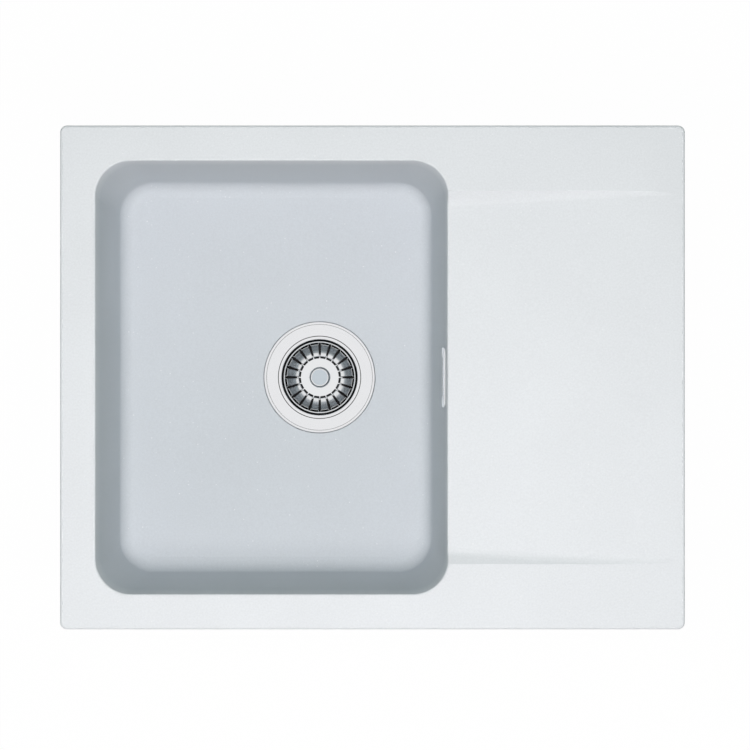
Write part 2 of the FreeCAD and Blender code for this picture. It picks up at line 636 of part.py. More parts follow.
def knob():
    """The pull knob on the disc, waisted for the fingers and slightly dished on top."""
    foot = BASKET_DISC_TOP + BASKET_SHEET / 2
    waist = (foot + KNOB_TOP - 3.7) / 2
    return at_drain(turned((0, foot), (KNOB_NECK_R, foot),
                           ((KNOB_NECK_R - 0.9, waist), (KNOB_NECK_R, KNOB_TOP - 3.7)),
                           (KNOB_R - 1.2, KNOB_TOP - 3.2),
                           ((KNOB_R - 0.3, KNOB_TOP - 2.9), (KNOB_R, KNOB_TOP - 2.2)), (KNOB_R, KNOB_TOP - 0.5),
                           ((KNOB_R - 0.15, KNOB_TOP - 0.15), (KNOB_R - 0.5, KNOB_TOP)),
                           (KNOB_R - 1.0, KNOB_TOP), (KNOB_R - 1.3, KNOB_TOP - KNOB_DISH / 2),
                           (0, KNOB_TOP - KNOB_DISH)))


def basket_seal():
    """The rubber plug disc with its sealing lip, just clear of the cup's seat."""
    low = SEAL_TOP - SEAL_THICKNESS
    return at_drain(turned((STEM_R, SEAL_TOP), (SEAL_HUB_R, SEAL_TOP), (SEAL_LIP_R, SEAL_TOP - 1.2),
                           (SEAL_LIP_R - 1.2, low - 0.2), (SEAL_HUB_R - 1, low), (STEM_R, low)))


def seal_retainer():
    """The dished washer that holds the rubber on the stem."""
    top = SEAL_TOP - SEAL_THICKNESS
    return at_drain(turned((STEM_R, top), (RETAINER_R, top), (RETAINER_R - 1, top - RETAINER_SHEET),
                           (STEM_R, top - RETAINER_SHEET)))


def stem():
    """The post with its shoulder under the disc, and a rounded tip for the clamp screw's head."""
    tip = CUP_FLOOR + 2.5
    disc_low = BASKET_DISC_TOP - BASKET_SHEET / 2
    disc_high = BASKET_DISC_TOP + BASKET_SHEET / 2
    return at_drain(turned((0, tip), (STEM_R - 0.8, tip), (STEM_R, tip + 0.8), (STEM_R, SEAL_TOP),
                           (STEM_SHOULDER_R, SEAL_TOP), (STEM_SHOULDER_R, SEAL_TOP + 1.2),
                           (KNOB_NECK_R, disc_low), (STEM_R - 0.5, disc_low), (STEM_R - 0.5, disc_high),
                           (0, disc_high)))


# ---- overflow -------------------------------------------------------------------------------

def screw_holes(radius, bottom, top):
    """A cylinder at each of the two overflow screws."""
    return [cylinder(radius, bottom, top, x) for x in (-OVERFLOW_SCREW_X, OVERFLOW_SCREW_X)]


def overflow_cover():
    """The steel cover: a shallow cap with its inlet low on the face and two threaded posts."""
    cap = rounded_plate(COVER_LENGTH, COVER_HEIGHT, COVER_CORNER_R, 0, COVER_PROUD)
    face_edges = [edge for edge in cap.Edges if edge.BoundBox.ZMin > COVER_PROUD - 0.01]
    cap = cap.makeFillet(COVER_EDGE_R, face_edges)
    inside = rounded_plate(COVER_LENGTH - 2 * COVER_SHEET, COVER_HEIGHT - 2 * COVER_SHEET,
                           COVER_CORNER_R - COVER_SHEET, -1, COVER_PROUD - COVER_SHEET)
    inlet = rounded_plate(COVER_INLET_LENGTH, COVER_INLET_HEIGHT, COVER_INLET_HEIGHT / 2 - 0.1, -1,
                          COVER_PROUD + 1, 0, COVER_INLET_Y)
    posts = screw_holes(COVER_POST_R, COVER_POST_END, COVER_PROUD - COVER_SHEET / 2)
    bores = screw_holes(OVERFLOW_SCREW_R, COVER_POST_END - 1, 0)
    return on_wall(cap.cut([inside, inlet]).fuse(posts).cut(bores).removeSplitter())


def overflow_gasket():
    """The rubber pad behind the wall."""
    low = CHAMBER_FACE - 1
    high = WALL_BACK + 1
    pad = rounded_plate(CHAMBER_FLANGE_LENGTH - 2, CHAMBER_FLANGE_HEIGHT - 2, 7, CHAMBER_FACE, WALL_BACK)
    window = rounded_plate(WALL_SLOT_LENGTH + 2, WALL_SLOT_HEIGHT + 6, 4, low, high, 0, -1)
    return on_wall(pad.cut([window] + screw_holes(OVERFLOW_SCREW_HOLE_R, low, high)))


def overflow_spigot(shape):
    """Turn a joint's piece onto the spigot that points down the wall."""
    turned_down = shape.rotated(V(0, 0, 0), V(1, 0, 0), 90)
    return on_wall(turned_down.translated(V(0, SPIGOT_TOP - SOCKET_LENGTH, -PIPE_OFFSET)))


def overflow_body():
    """The moulded chamber behind the slot, with its flange and its socket for the pipe."""
    end = -PIPE_OFFSET - SOCKET_R
    flange = rounded_plate(CHAMBER_FLANGE_LENGTH, CHAMBER_FLANGE_HEIGHT, 8, SCREW_SEAT, CHAMBER_FACE)
    chamber = rounded_plate(CHAMBER_LENGTH, CHAMBER_HEIGHT, 7, end, SCREW_SEAT)
    back_edges = [edge for edge in chamber.Edges if edge.BoundBox.ZMax < end + 0.01]
    chamber = chamber.makeFillet(4, back_edges)
    inside = rounded_plate(CHAMBER_LENGTH - 2 * CHAMBER_WALL, CHAMBER_HEIGHT - 2 * CHAMBER_WALL, 4,
                           end + CHAMBER_WALL, CHAMBER_FACE + 1)
    spigot_root = Part.makeCylinder(SOCKET_R, 12, V(0, SPIGOT_TOP - 2, -PIPE_OFFSET), V(0, 1, 0))
    spigot_root = spigot_root.common(block(-30, 30, -30, 30, end - 5, SCREW_SEAT))
    drop = Part.makeCylinder(PIPE_BORE_R, 18, V(0, SPIGOT_TOP - 8, -PIPE_OFFSET), V(0, 1, 0))
    holes = screw_holes(OVERFLOW_SCREW_HOLE_R, SCREW_SEAT - 1, 0)
    body = flange.fuse([chamber, spigot_root]).cut([inside, drop] + holes)
    return on_wall(body).fuse(overflow_spigot(socket_form())).removeSplitter()


def overflow_screws():
    """Two pan-head screws from behind, through flange, gasket and wall into the cover's posts."""
    screw = turned((0, SCREW_SEAT - 2.6), (2.2, SCREW_SEAT - 2.6),
                   ((3.3, SCREW_SEAT - 2.0), (3.8, SCREW_SEAT)), (OVERFLOW_SCREW_R, SCREW_SEAT),
                   (OVERFLOW_SCREW_R, -0.5), (0, -0.5))
    placed = [on_wall(screw.translated(V(x, 0, 0))) for x in (-OVERFLOW_SCREW_X, OVERFLOW_SCREW_X)]
    return Part.makeCompound(placed)


def overflow_pipe():
    """The rigid pipe: down beside the wall, one bend, and level into the waste body."""
    down = WALL_UP * -1
    axis_start = OVERFLOW_ORIGIN - WALL_OUT * PIPE_OFFSET
    start = axis_start + WALL_UP * (SPIGOT_TOP - SOCKET_LENGTH + PIPE_ENTRY)
    drop = (start.z - INLET_Z) / -down.z
    corner = start + down * drop
    turn = math.pi / 2 - BOWL_DRAFT
    tangent = PIPE_BEND_R * math.tan(turn / 2)
    bend_start = corner - down * tangent
    bend_end = corner - V(tangent, 0, 0)
    centre = bend_end + V(0, 0, PIPE_BEND_R)
    end_x = INLET_MOUTH_X - PIPE_ENTRY

    def solid(radius, beyond):
        first = Part.makeCylinder(radius, (bend_start - start).Length + beyond, start - down * beyond, down)
        disc = Part.Face(Part.Wire(Part.makeCircle(radius, bend_end, V(1, 0, 0))))
        bend = disc.revolve(centre, V(0, -1, 0), math.degrees(turn))
        level = Part.makeCylinder(radius, bend_end.x - end_x + beyond, bend_end, V(-1, 0, 0))
        return first.fuse([bend, level])

    return solid(PIPE_R, 0).cut(solid(PIPE_BORE_R, 1)).removeSplitter()


# ---- worktop clips --------------------------------------------------------------------------

def clip_inserts():
    """Brass threads pressed into the bosses."""
    insert = ring(CLIP_INSERT_R, STUD_R, CLIP_BOSS_BOTTOM, CLIP_BORE_TOP)
    return Part.makeCompound([insert.translated(V(x, y, 0)) for x, y, _ in CLIPS])


def clip_studs():
    """Steel studs that the clips hang on."""
    stud = turned((0, STUD_END), (STUD_R - 0.6, STUD_END), (STUD_R, STUD_END + 0.6), (STUD_R, STUD_TOP),
                  (0, STUD_TOP))
    return Part.makeCompound([stud.translated(V(x, y, 0)) for x, y, _ in CLIPS])


def on_circle(x, z, radius, degrees):
    """A point on an upright circle in the XZ plane, its height measured up Z."""
    angle = math.radians(degrees)
    return V(x + radius * math.cos(angle), 0, z + radius * math.sin(angle))


def tangent_angle(centre, radius, point, side):
    """Where a line from a point touches an upright circle, in degrees round the circle."""
    away = point - centre
    return math.degrees(math.atan2(away.z, away.x) + side * math.acos(radius / away.Length))


def clip_nut(x, y, direction):
    """A cast wing nut below the claw, with its rounded ears in line with the edge."""
    top = CLAW_BOTTOM
    low = top - NUT_HEIGHT
    hub = turned((0, low), (NUT_HUB_LOW_R - 0.5, low), (NUT_HUB_LOW_R, low + 0.5),
                 (NUT_HUB_R, top - 0.6), (NUT_HUB_R - 0.5, top), (0, top))
    ear = V(WING_REACH - WING_EAR_R, 0, top - WING_HEIGHT + WING_EAR_R)
    shoulder = V(3, 0, top - 1.5)
    root = V(3, 0, low + 1)
    ear_top = on_circle(ear.x, ear.z, WING_EAR_R, tangent_angle(ear, WING_EAR_R, shoulder, -1))
    ear_low = on_circle(ear.x, ear.z, WING_EAR_R, tangent_angle(ear, WING_EAR_R, root, 1))
    outline = [Part.LineSegment(root, shoulder).toShape(), Part.LineSegment(shoulder, ear_top).toShape(),
               Part.Arc(ear_top, on_circle(ear.x, ear.z, WING_EAR_R, -30), ear_low).toShape(),
               Part.LineSegment(ear_low, root).toShape()]
    half = V(0, WING_THICKNESS / 2, 0)
    wing = Part.Face(Part.Wire(outline)).translated(half * -1).extrude(half * 2)
    rounded = [edge for edge in wing.Edges if edge.BoundBox.YLength < 0.01 and edge.BoundBox.XMax > NUT_HUB_R]
    wing = wing.makeFillet(WING_EDGE_R, rounded)
    other = wing.rotated(V(0, 0, 0), UP, 180)
    shape = hub.fuse([wing, other]).cut(cylinder(NUT_BORE_R, low - 5, top + 1)).removeSplitter()
    return shape.rotated(V(0, 0, 0), UP, direction).translated(V(x, y, 0))


def clip_claw(x, y, direction):
    """A pressed claw: a flat arm bent up to a toothed toe that bites under the worktop."""
    top = CLAW_BOTTOM + CLAW_SHEET
    tip = top + CLAW_TOE
    half = CLAW_WIDTH / 2
    bend_x = CLAW_LENGTH - CLAW_BEND_R
    bend_z = CLAW_BOTTOM + CLAW_BEND_R
    inner_r = CLAW_BEND_R - CLAW_SHEET

    def bend(radius):
        return Part.Arc(*[on_circle(bend_x, bend_z, radius, angle) for angle in (-90, -45, 0)]).toShape()

    outside = bend(CLAW_BEND_R)
    inside = bend(inner_r)
    corners = [V(bend_x, 0, CLAW_BOTTOM), V(-CLAW_TAIL, 0, CLAW_BOTTOM), V(-CLAW_TAIL, 0, top), V(bend_x, 0, top)]
    toe = [V(CLAW_LENGTH - CLAW_SHEET, 0, bend_z), V(CLAW_LENGTH - CLAW_SHEET, 0, tip),
           V(CLAW_LENGTH, 0, tip), V(CLAW_LENGTH, 0, bend_z)]
    edges = Part.makePolygon(corners).Edges + [inside] + Part.makePolygon(toe).Edges + [outside]
    strip = Part.Face(Part.Wire(edges)).translated(V(0, -half, 0)).extrude(V(0, CLAW_WIDTH, 0))
    tail = [edge for edge in strip.Edges if edge.BoundBox.XMax < 0 and edge.BoundBox.ZLength > CLAW_SHEET / 2]
    strip = strip.makeFillet(5.0, tail)
    notch = block(bend_x, CLAW_LENGTH + 1, -1.6, 1.6, tip - 2.5, tip + 1)
    rib = block(6, bend_x + 1, -0.75, 0.75, top - 0.5, top + 1.2)
    ribs = [rib.translated(V(0, side, 0)) for side in (-CLAW_RIB_Y, CLAW_RIB_Y)]
    shape = strip.fuse(ribs).cut([notch, cylinder(CLAW_BORE_R, CLAW_BOTTOM - 1, top + 1)])
    return shape.removeSplitter().rotated(V(0, 0, 0), UP, direction).translated(V(x, y, 0))


# ---- the set --------------------------------------------------------------------------------

def all_nodes():
    """Every sub-part by its name."""
    nodes = {
        "sink_body": sink_body(),
        "rim_seal": rim_seal(),
        "waste_flange": waste_flange(),
        "flange_gasket": flange_gasket(),
        "lower_gasket": lower_gasket(),
        "waste_body": waste_body(),
        "waste_insert": waste_insert(),
        "clamp_screw": clamp_screw(),
        "basket": basket(),
        "basket_knob": knob(),
        "basket_stem": stem(),
        "basket_seal": basket_seal(),
        "seal_retainer": seal_retainer(),
        "overflow_cover": overflow_cover(),
        "overflow_gasket": overflow_gasket(),
        "overflow_body": overflow_body(),
        "overflow_screws": overflow_screws(),
        "overflow_pipe": overflow_pipe(),
        "overflow_upper_nut": overflow_spigot(compression_nut()),
        "overflow_upper_washer": overflow_spigot(cone_washer()),
        "overflow_lower_nut": waste_joint(compression_nut()),
        "overflow_lower_washer": waste_joint(cone_washer()),
        "clip_inserts": clip_inserts(),
        "clip_studs": clip_studs(),
    }
    for number, (x, y, direction) in enumerate(CLIPS, 1):
        nodes["clip_nut_%d" % number] = clip_nut(x, y, direction)
        nodes["clip_claw_%d" % number] = clip_claw(x, y, direction)
    return nodes


def main():
    os.makedirs("parts", exist_ok=True)
    for name, shape in all_nodes().items():
        if not shape.isValid():
            raise ValueError(name + " is not a valid shape")
        shape.exportStep("parts/" + name + ".step")
        print("%-24s %2d solids %9.1f mm3 %3d faces" % (name, len(shape.Solids), shape.Volume,
                                                       len(shape.Faces)))


main()
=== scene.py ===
"""The looks of an inset composite kitchen sink: its moulded shell, basket waste, overflow and clips."""

import json
import math

import bmesh
import bpy
from mathutils import Matrix, Vector


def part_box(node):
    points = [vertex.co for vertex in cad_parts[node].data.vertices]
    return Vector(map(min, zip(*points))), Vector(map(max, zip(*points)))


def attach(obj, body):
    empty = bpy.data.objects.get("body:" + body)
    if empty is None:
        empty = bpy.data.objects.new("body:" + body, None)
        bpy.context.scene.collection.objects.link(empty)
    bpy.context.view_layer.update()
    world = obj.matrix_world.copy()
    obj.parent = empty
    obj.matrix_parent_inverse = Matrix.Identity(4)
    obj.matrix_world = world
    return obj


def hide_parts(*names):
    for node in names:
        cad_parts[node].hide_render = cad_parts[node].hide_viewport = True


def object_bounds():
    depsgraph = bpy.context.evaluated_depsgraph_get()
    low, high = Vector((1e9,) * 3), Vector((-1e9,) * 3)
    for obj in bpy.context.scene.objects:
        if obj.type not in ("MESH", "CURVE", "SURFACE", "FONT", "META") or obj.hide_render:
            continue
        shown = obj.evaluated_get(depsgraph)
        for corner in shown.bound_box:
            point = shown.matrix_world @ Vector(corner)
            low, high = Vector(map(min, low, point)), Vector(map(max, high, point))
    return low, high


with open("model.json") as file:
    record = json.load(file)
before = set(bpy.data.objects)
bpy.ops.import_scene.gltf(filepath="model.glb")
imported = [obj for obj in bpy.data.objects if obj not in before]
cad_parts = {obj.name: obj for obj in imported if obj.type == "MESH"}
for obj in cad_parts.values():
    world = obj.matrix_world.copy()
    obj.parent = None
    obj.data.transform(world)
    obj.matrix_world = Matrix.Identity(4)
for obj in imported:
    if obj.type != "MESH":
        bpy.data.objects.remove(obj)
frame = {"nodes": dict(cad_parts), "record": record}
cad_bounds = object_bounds()
nodes = frame["nodes"]

MM = 0.001
FULL_TURN = 2 * math.pi


# ---- where things are, from the frame ---------------------------------------------------------

def middle(node):
    """The middle of a node's box."""
    low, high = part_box(node)
    return (low + high) / 2


DECK_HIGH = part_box("sink_body")[1]
DRAIN = Vector((middle("waste_flange").x, middle("waste_flange").y, 0))
FLANGE_LOW, FLANGE_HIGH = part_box("waste_flange")
BASKET_LOW, BASKET_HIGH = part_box("basket")
KNOB_LOW, KNOB_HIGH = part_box("basket_knob")
BODY_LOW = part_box("waste_body")[0]
STUDS_LOW, STUDS_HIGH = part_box("clip_studs")
KNOB_FACE = 8.1 * MM            # radius of the knob's satin face inside its polished edge
CLIPS = range(1, 9)


# ---- shader building ----------------------------------------------------------------------------

# the colour sockets of a Mix node, by number because its names repeat
MIX_FACTOR = 0
MIX_FIRST = 6
MIX_SECOND = 7
MIX_RESULT = 2
WHITE = (1.0, 1.0, 1.0, 1.0)


class Finish:
    """A material under construction: its nodes, and short ways to add and join them."""

    def __init__(self, name, color, roughness, metallic=0.0):
        self.material = bpy.data.materials.new(name)
        self.material.use_nodes = True
        self.tree = self.material.node_tree
        self.shader = self.tree.nodes["Principled BSDF"]
        self.set(self.shader, "Base Color", (*color, 1.0))
        self.set(self.shader, "Roughness", roughness)
        self.set(self.shader, "Metallic", metallic)
        self.where = self.add("ShaderNodeTexCoord").outputs["Object"]

    def add(self, kind, **settings):
        node = self.tree.nodes.new(kind)
        for key, value in settings.items():
            setattr(node, key, value)
        return node

    def set(self, node, socket, value):
        """Give a socket a number or colour, or join another node's output to it."""
        if isinstance(value, bpy.types.NodeSocket):
            self.tree.links.new(value, node.inputs[socket])
        else:
            node.inputs[socket].default_value = value

    def noise(self, scale, detail=3.0, roughness=0.5, where=None):
        node = self.add("ShaderNodeTexNoise")
        self.set(node, "Vector", where or self.where)
        self.set(node, "Scale", scale)
        self.set(node, "Detail", detail)
        self.set(node, "Roughness", roughness)
        return node.outputs["Fac"]

    def axis(self, letter):
        """One coordinate of the point in the row's frame."""
        parts = self.add("ShaderNodeSeparateXYZ")
        self.set(parts, "Vector", self.where)
        return parts.outputs[letter]

    def radius(self):
        """The point's distance from the drain's axis."""
        shift = self.add("ShaderNodeVectorMath", operation="SUBTRACT")
        self.set(shift, 0, self.where)
        self.set(shift, 1, DRAIN)
        parts = self.add("ShaderNodeSeparateXYZ")
        self.set(parts, "Vector", shift.outputs["Vector"])
        return self.math("SQRT", self.math(
            "ADD", self.math("MULTIPLY", parts.outputs["X"], parts.outputs["X"]),
            self.math("MULTIPLY", parts.outputs["Y"], parts.outputs["Y"])))

    def math(self, operation, first, second=0.0):
        node = self.add("ShaderNodeMath", operation=operation)
        self.set(node, 0, first)
        self.set(node, 1, second)
        return node.outputs[0]

    def spread(self, value, low, high, to_low=0.0, to_high=1.0):
        """Map a value from one range to another, and clip it there."""
        node = self.add("ShaderNodeMapRange")
        for socket, number in zip(("Value", "From Min", "From Max", "To Min", "To Max"),
                                  (value, low, high, to_low, to_high)):
            self.set(node, socket, number)
        return node.outputs["Result"]

    def blend(self, factor, first, second):
        """A colour between two, by a factor."""
        node = self.add("ShaderNodeMix", data_type="RGBA")
        self.set(node, MIX_FACTOR, factor)
        self.set(node, MIX_FIRST, first)
        self.set(node, MIX_SECOND, second)
        return node.outputs[MIX_RESULT]

    def bump(self, height, strength, distance):
        node = self.add("ShaderNodeBump")
        self.set(node, "Height", height)
        self.set(node, "Strength", strength)
        self.set(node, "Distance", distance)
        self.set(self.shader, "Normal", node.outputs["Normal"])


def tint(color, factor):
    """A colour made lighter or darker, as a shader colour."""
    return tuple(channel * factor for channel in color) + (1.0,)


# ---- finishes ---------------------------------------------------------------------------------

COMPOSITE_COLOR = (0.70, 0.735, 0.76)
FLECK_COLOR = (0.80, 0.82, 0.84)
BOWL_PAINTED_SHADE = (0.815, 0.835, 0.85)     # painted shade: the bowl's surfaces made darker than the deck's, for the shade that falls inside it
BOWL_SHADE_FULL_BELOW = -30 * MM                   # the painted shade is full under this height,
BOWL_SHADE_NONE_ABOVE = -2 * MM                  # and not at all over this one
GRAIN_DARK = 0.955                      # how far the grain's darkest and lightest spots
GRAIN_LIGHT = 1.03                      # stray from the colour
STEEL_COLOR = (0.80, 0.81, 0.82)


def composite():
    """Cast white composite: fine mineral grain, a few pale flecks, semi-matt, with painted shade darkening
    it in the bowl.
    """
    finish = Finish("composite", COMPOSITE_COLOR, 0.45)
    grain = finish.noise(520.0, 4.0, 0.65)
    cloud = finish.noise(9.0, 2.0, 0.5)
    shade = finish.math("ADD", finish.math("MULTIPLY", grain, 0.75), finish.math("MULTIPLY", cloud, 0.25))
    shade = finish.spread(shade, 0.36, 0.64)
    # painted shade: the composite's colour is darkened in the bowl, below the deck
    bowl_shaded_color = [channel * bowl_shade_factor for channel, bowl_shade_factor in zip(COMPOSITE_COLOR, BOWL_PAINTED_SHADE)]
    in_bowl, on_deck = [finish.blend(shade, tint(color, GRAIN_DARK), tint(color, GRAIN_LIGHT))
                        for color in (bowl_shaded_color, COMPOSITE_COLOR)]
    body = finish.blend(finish.spread(finish.axis("Z"), BOWL_SHADE_FULL_BELOW, BOWL_SHADE_NONE_ABOVE), in_bowl, on_deck)
    cells = finish.add("ShaderNodeTexVoronoi", feature="F1")
    finish.set(cells, "Vector", finish.where)
    finish.set(cells, "Scale", 210.0)
    fleck = finish.spread(cells.outputs["Distance"], 0.10, 0.17, 1.0, 0.0)
    picked = finish.add("ShaderNodeSeparateColor")
    finish.set(picked, "Color", cells.outputs["Color"])
    fleck = finish.math("MULTIPLY", fleck, finish.spread(picked.outputs["Red"], 0.80, 1.0, 0.0, 0.8))
    finish.set(finish.shader, "Base Color", finish.blend(fleck, body, tint(FLECK_COLOR, 1.0)))
    finish.set(finish.shader, "Roughness", finish.spread(grain, 0.3, 0.7, 0.40, 0.52))
    finish.bump(finish.noise(1400.0, 2.0), 0.12, 0.0002)
    return finish.material


# painted shade in the flange's crease and its step: the radius and half width of each, and their tone
FLANGE_CREASE_SHADE = ((42.7 * MM, 0.35 * MM, 0.2), (54.85 * MM, 0.12 * MM, 0.35))
FLANGE_CREASE_SHADE_FADE = 0.1 * MM
CUP_SHADE_TOP = FLANGE_HIGH.z - 6 * MM        # painted shade: the cup's walls darken below this height,
CUP_SHADE_FADE = 6 * MM                       # over this much of it,
CUP_SHADE_TONE = 0.3                          # to this share of the flange's tone


def ringed_steel(name, color, roughness, depth, shade_below=None):
    """Brushed stainless steel, its fine lines round the drain.

    With a height, shade is painted in: it is darker below that height and in the flange's crease and step.
    """
    finish = Finish(name, color, roughness, 1.0)
    height = finish.axis("Z")
    along = finish.add("ShaderNodeCombineXYZ")
    finish.set(along, "X", finish.radius())
    finish.set(along, "Z", height)
    lines = finish.noise(3200.0, 2.0, 0.6, along.outputs["Vector"])
    smear = finish.noise(60.0, 3.0)
    finish.set(finish.shader, "Roughness", finish.math(
        "ADD", finish.spread(lines, 0.3, 0.7, roughness - 0.06, roughness + 0.06),
        finish.spread(smear, 0.3, 0.7, -0.03, 0.03)))
    finish.bump(lines, depth, 0.0001)
    if shade_below is not None:
        # painted shade: darker down the cup's walls, below the height
        shade = finish.spread(height, shade_below - CUP_SHADE_FADE, shade_below, CUP_SHADE_TONE, 1.0)
        # painted shade: darker rings in the flange's crease and step
        for radius, half_width, tone in FLANGE_CREASE_SHADE:
            away = finish.math("ABSOLUTE", finish.math("SUBTRACT", finish.radius(), radius))
            crease_shade = finish.spread(away, half_width, half_width + FLANGE_CREASE_SHADE_FADE, tone, 1.0)
            shade = finish.math("MULTIPLY", shade, crease_shade)
        finish.set(finish.shader, "Base Color", finish.blend(shade, tint(color, 0.0), tint(color, 1.0)))
    return finish.material


# the strainer's bridges are coarser than its rim and disc: where that fades in and out, by radius
COARSE_INSIDE = (20.5 * MM, 22.0 * MM)
COARSE_OUTSIDE = (35.0 * MM, 35.6 * MM)
COARSER = 0.14


def pressed_steel(name, color, drawn=False):
    """Bright rolled stainless sheet with a faint grain; coarser on the bridges of a drawn strainer."""
    finish = Finish(name, color, 0.11, 1.0)
    smear = finish.noise(140.0, 4.0, 0.6)
    roughness = finish.spread(smear, 0.3, 0.7, 0.08, 0.15)
    if drawn:
        away = finish.radius()
        coarse = finish.math("MULTIPLY", finish.spread(away, *COARSE_INSIDE),
                             finish.spread(away, *COARSE_OUTSIDE, 1.0, 0.0))
        roughness = finish.math("ADD", roughness, finish.math("MULTIPLY", coarse, COARSER))
    finish.set(finish.shader, "Roughness", roughness)
    finish.bump(finish.noise(2200.0, 2.0), 0.04, 0.0001)
    return finish.material


def satin_steel():
    """Blasted stainless, greyer and softer than the sheet, with a polished edge."""
    color = (0.57, 0.625, 0.67)
    fade = 0.05 * MM
    finish = Finish("satin_steel", color, 0.30, 1.0)
    polished = finish.spread(finish.radius(), KNOB_FACE - fade, KNOB_FACE + fade)
    finish.set(finish.shader, "Base Color",
               finish.blend(polished, tint(color, 1.0), tint(STEEL_COLOR, 1.0)))
    finish.set(finish.shader, "Roughness", finish.spread(polished, 0.0, 1.0, 0.30, 0.16))
    finish.bump(finish.noise(2600.0, 2.0), 0.05, 0.0001)
    return finish.material


def zinc_plate():
    """Zinc-plated steel: slightly blue, cloudy and satin."""
    finish = Finish("zinc_plate", (0.62, 0.64, 0.66), 0.34, 1.0)
    cloud = finish.noise(220.0, 4.0, 0.6)
    finish.set(finish.shader, "Base Color", finish.blend(
        finish.spread(cloud, 0.35, 0.65), (0.56, 0.58, 0.61, 1.0), (0.70, 0.71, 0.71, 1.0)))
    finish.set(finish.shader, "Roughness", finish.spread(cloud, 0.3, 0.7, 0.28, 0.42))
    finish.bump(finish.noise(1800.0, 2.0), 0.08, 0.0001)
    return finish.material


def moulded_plastic(name, color, roughness):
    """Injection-moulded polypropylene with a fine eroded surface."""
    finish = Finish(name, color, roughness)
    finish.set(finish.shader, "Subsurface Weight", 0.08)
    finish.set(finish.shader, "Subsurface Radius", (0.002, 0.002, 0.002))
    cloud = finish.noise(24.0, 3.0)
    finish.set(finish.shader, "Base Color", finish.blend(
        finish.spread(cloud, 0.3, 0.7), tint(color, 0.95), tint(color, 1.02)))
    finish.bump(finish.noise(1600.0, 3.0), 0.10, 0.0001)
    return finish.material


def moulded_rubber():
    """Black moulded rubber, matt with a dusty bloom."""
    finish = Finish("moulded_rubber", (0.020, 0.020, 0.021), 0.62)
    bloom = finish.noise(180.0, 4.0)
    finish.set(finish.shader, "Base Color", finish.blend(
        finish.spread(bloom, 0.4, 0.7), (0.016, 0.016, 0.017, 1.0), (0.034, 0.034, 0.036, 1.0)))
    finish.bump(finish.noise(1500.0, 2.0), 0.15, 0.0001)
    return finish.material


def cell_foam():
    """Closed-cell foam tape, dark grey with small pits."""
    finish = Finish("cell_foam", (0.045, 0.046, 0.048), 0.85)
    cells = finish.add("ShaderNodeTexVoronoi", feature="F1")
    finish.set(cells, "Vector", finish.where)
    finish.set(cells, "Scale", 1100.0)
    finish.set(finish.shader, "Base Color", finish.blend(
        cells.outputs["Distance"], (0.030, 0.031, 0.033, 1.0), (0.075, 0.076, 0.080, 1.0)))
    finish.bump(cells.outputs["Distance"], 0.5, 0.0004)
    return finish.material


def turned_brass():
    """Bare brass with a light tarnish."""
    finish = Finish("turned_brass", (0.72, 0.53, 0.24), 0.28, 1.0)
    tarnish = finish.noise(260.0, 3.0)
    finish.set(finish.shader, "Base Color", finish.blend(
        finish.spread(tarnish, 0.4, 0.75), (0.74, 0.55, 0.26, 1.0), (0.52, 0.38, 0.18, 1.0)))
    finish.set(finish.shader, "Roughness", finish.spread(tarnish, 0.3, 0.7, 0.22, 0.36))
    return finish.material


FINISHES = {
    "composite": composite(),
    "foam": cell_foam(),
    "polished_steel": ringed_steel("ringed_steel", STEEL_COLOR, 0.24, 0.05),
    "black_rubber": moulded_rubber(),
    "white_plastic": moulded_plastic("white_plastic", (0.78, 0.78, 0.76), 0.42),
    "grey_plastic": moulded_plastic("grey_plastic", (0.22, 0.23, 0.24), 0.38),
    "brass": turned_brass(),
    "zinc_steel": zinc_plate(),
}
PRESSED = pressed_steel("pressed_steel", (0.87, 0.88, 0.89))
DRAWN = pressed_steel("drawn_steel", STEEL_COLOR, drawn=True)
SATIN = satin_steel()
CUP_STEEL = ringed_steel("cup_steel", (0.80, 0.805, 0.82), 0.22, 0.03, CUP_SHADE_TOP)


def paint(piece, finish):
    """Give a piece one finish all over."""
    piece.data.materials.clear()
    piece.data.materials.append(finish)


for part in frame["record"]["subparts"]:
    paint(nodes[part["node"]], FINISHES[part["material_slot"]])
paint(nodes["overflow_cover"], PRESSED)
paint(nodes["overflow_screws"], PRESSED)


# ---- modelling helpers --------------------------------------------------------------------------

WELD = 1e-6                     # points nearer than this become one


def arc(centre, radius, start, end, steps):
    """Points of an arc about a (radius, height) centre, between two angles in degrees."""
    points = []
    for step in range(steps + 1):
        angle = math.radians(start + (end - start) * step / steps)
        points.append((centre[0] + radius * math.cos(angle), centre[1] + radius * math.sin(angle)))
    return points


def spin_profile(profile, segments, closed=True):
    """A bmesh turned about the Z axis from (radius, height) points."""
    mesh = bmesh.new()
    points = [mesh.verts.new((r, 0, z)) for r, z in profile]
    pairs = list(zip(points, points[1:]))
    if closed:
        pairs.append((points[-1], points[0]))
    edges = [mesh.edges.new(pair) for pair in pairs]
    bmesh.ops.spin(mesh, geom=points + edges, cent=(0, 0, 0), axis=(0, 0, 1), angle=FULL_TURN,
                   steps=segments, use_merge=True)
    bmesh.ops.remove_doubles(mesh, verts=mesh.verts, dist=WELD)
    bmesh.ops.recalc_face_normals(mesh, faces=mesh.faces)
    return mesh


def cad_mesh(node):
    """A CAD node's mesh as a bmesh in the row's frame, its seams closed."""
    mesh = bmesh.new()
    source = nodes[node]
    mesh.from_mesh(source.data)
    bmesh.ops.transform(mesh, matrix=source.matrix_world, verts=mesh.verts)
    bmesh.ops.remove_doubles(mesh, verts=mesh.verts, dist=WELD)
    bmesh.ops.recalc_face_normals(mesh, faces=mesh.faces)
    return mesh


